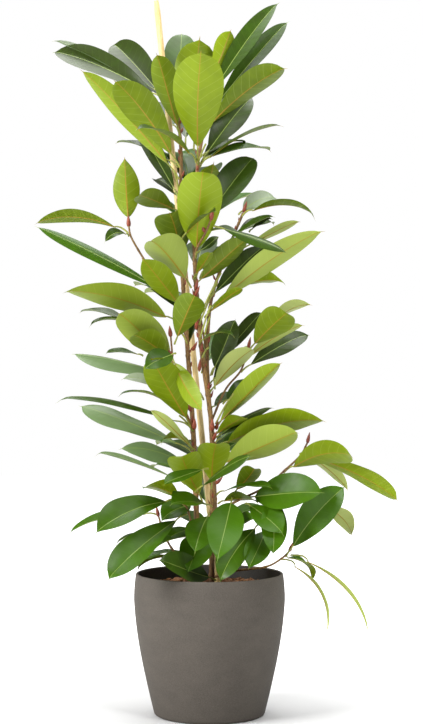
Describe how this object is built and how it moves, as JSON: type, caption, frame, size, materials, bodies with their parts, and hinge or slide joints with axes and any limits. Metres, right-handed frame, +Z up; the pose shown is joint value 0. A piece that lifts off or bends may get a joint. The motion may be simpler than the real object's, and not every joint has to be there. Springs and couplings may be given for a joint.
{
  "type": "potted ficus",
  "caption": "Broad-leaved ficus with three slender stems and a leaning stake, standing in a round tapered planter of soil.",
  "frame": {"origin": "centre of the planter's foot, on the floor", "axes": "+Z up along the planter's axis; -Y is the plant's front, +X its right as seen from the front"},
  "size_m": [0.6035, 0.3875, 1.1913],
  "materials": {
    "pot": "fine-grained stone look, matt taupe grey, charcoal inside",
    "soil": "dark potting soil under loose reddish-brown bark chips",
    "stake": "plain pale stick, straw-coloured at the top and tan below",
    "bark": "smooth orange-brown young bark with leaf scars and dry red-brown bud scales",
    "leaf": "leathery: glossy deep green above, matt yellow-green below, ochre midrib"
  },
  "bodies": {
    "root": {"back_leaf_01": "leaf", "back_leaf_02": "leaf", "back_leaf_03": "leaf", "back_leaf_04": "leaf", "back_leaf_05": "leaf", "back_leaf_06": "leaf", "back_leaf_07": "leaf", "back_leaf_08": "leaf", "back_stem": "bark", "crown_leaf_01": "leaf", "crown_leaf_02": "leaf", "crown_leaf_03": "leaf", "crown_leaf_04": "leaf", "crown_leaf_05": "leaf", "crown_leaf_06": "leaf", "crown_leaf_07": "leaf", "crown_leaf_08": "leaf", "crown_leaf_09": "leaf", "crown_leaf_10": "leaf", "crown_leaf_11": "leaf", "crown_leaf_12": "leaf", "left_stem": "bark", "lower_leaf_01": "leaf", "lower_leaf_02": "leaf", "lower_leaf_03": "leaf", "lower_leaf_04": "leaf", "lower_leaf_05": "leaf", "lower_leaf_06": "leaf", "lower_leaf_07": "leaf", "lower_leaf_08": "leaf", "lower_leaf_09": "leaf", "middle_leaf_01": "leaf", "middle_leaf_02": "leaf", "middle_leaf_03": "leaf", "middle_leaf_04": "leaf", "middle_leaf_05": "leaf", "middle_leaf_06": "leaf", "middle_leaf_07": "leaf", "middle_leaf_08": "leaf", "middle_leaf_09": "leaf", "middle_leaf_10": "leaf", "middle_leaf_11": "leaf", "pot": "pot", "right_stem": "bark", "soil": "soil", "stake": "stake", "upper_leaf_01": "leaf", "upper_leaf_02": "leaf", "upper_leaf_03": "leaf", "upper_leaf_04": "leaf", "upper_leaf_05": "leaf", "upper_leaf_06": "leaf", "upper_leaf_07": "leaf", "upper_leaf_08": "leaf", "upper_leaf_09": "leaf", "upper_leaf_10": "leaf", "upper_leaf_11": "leaf", "upper_leaf_12": "leaf", "upper_leaf_13": "leaf"}
  },
  "joints": []
}
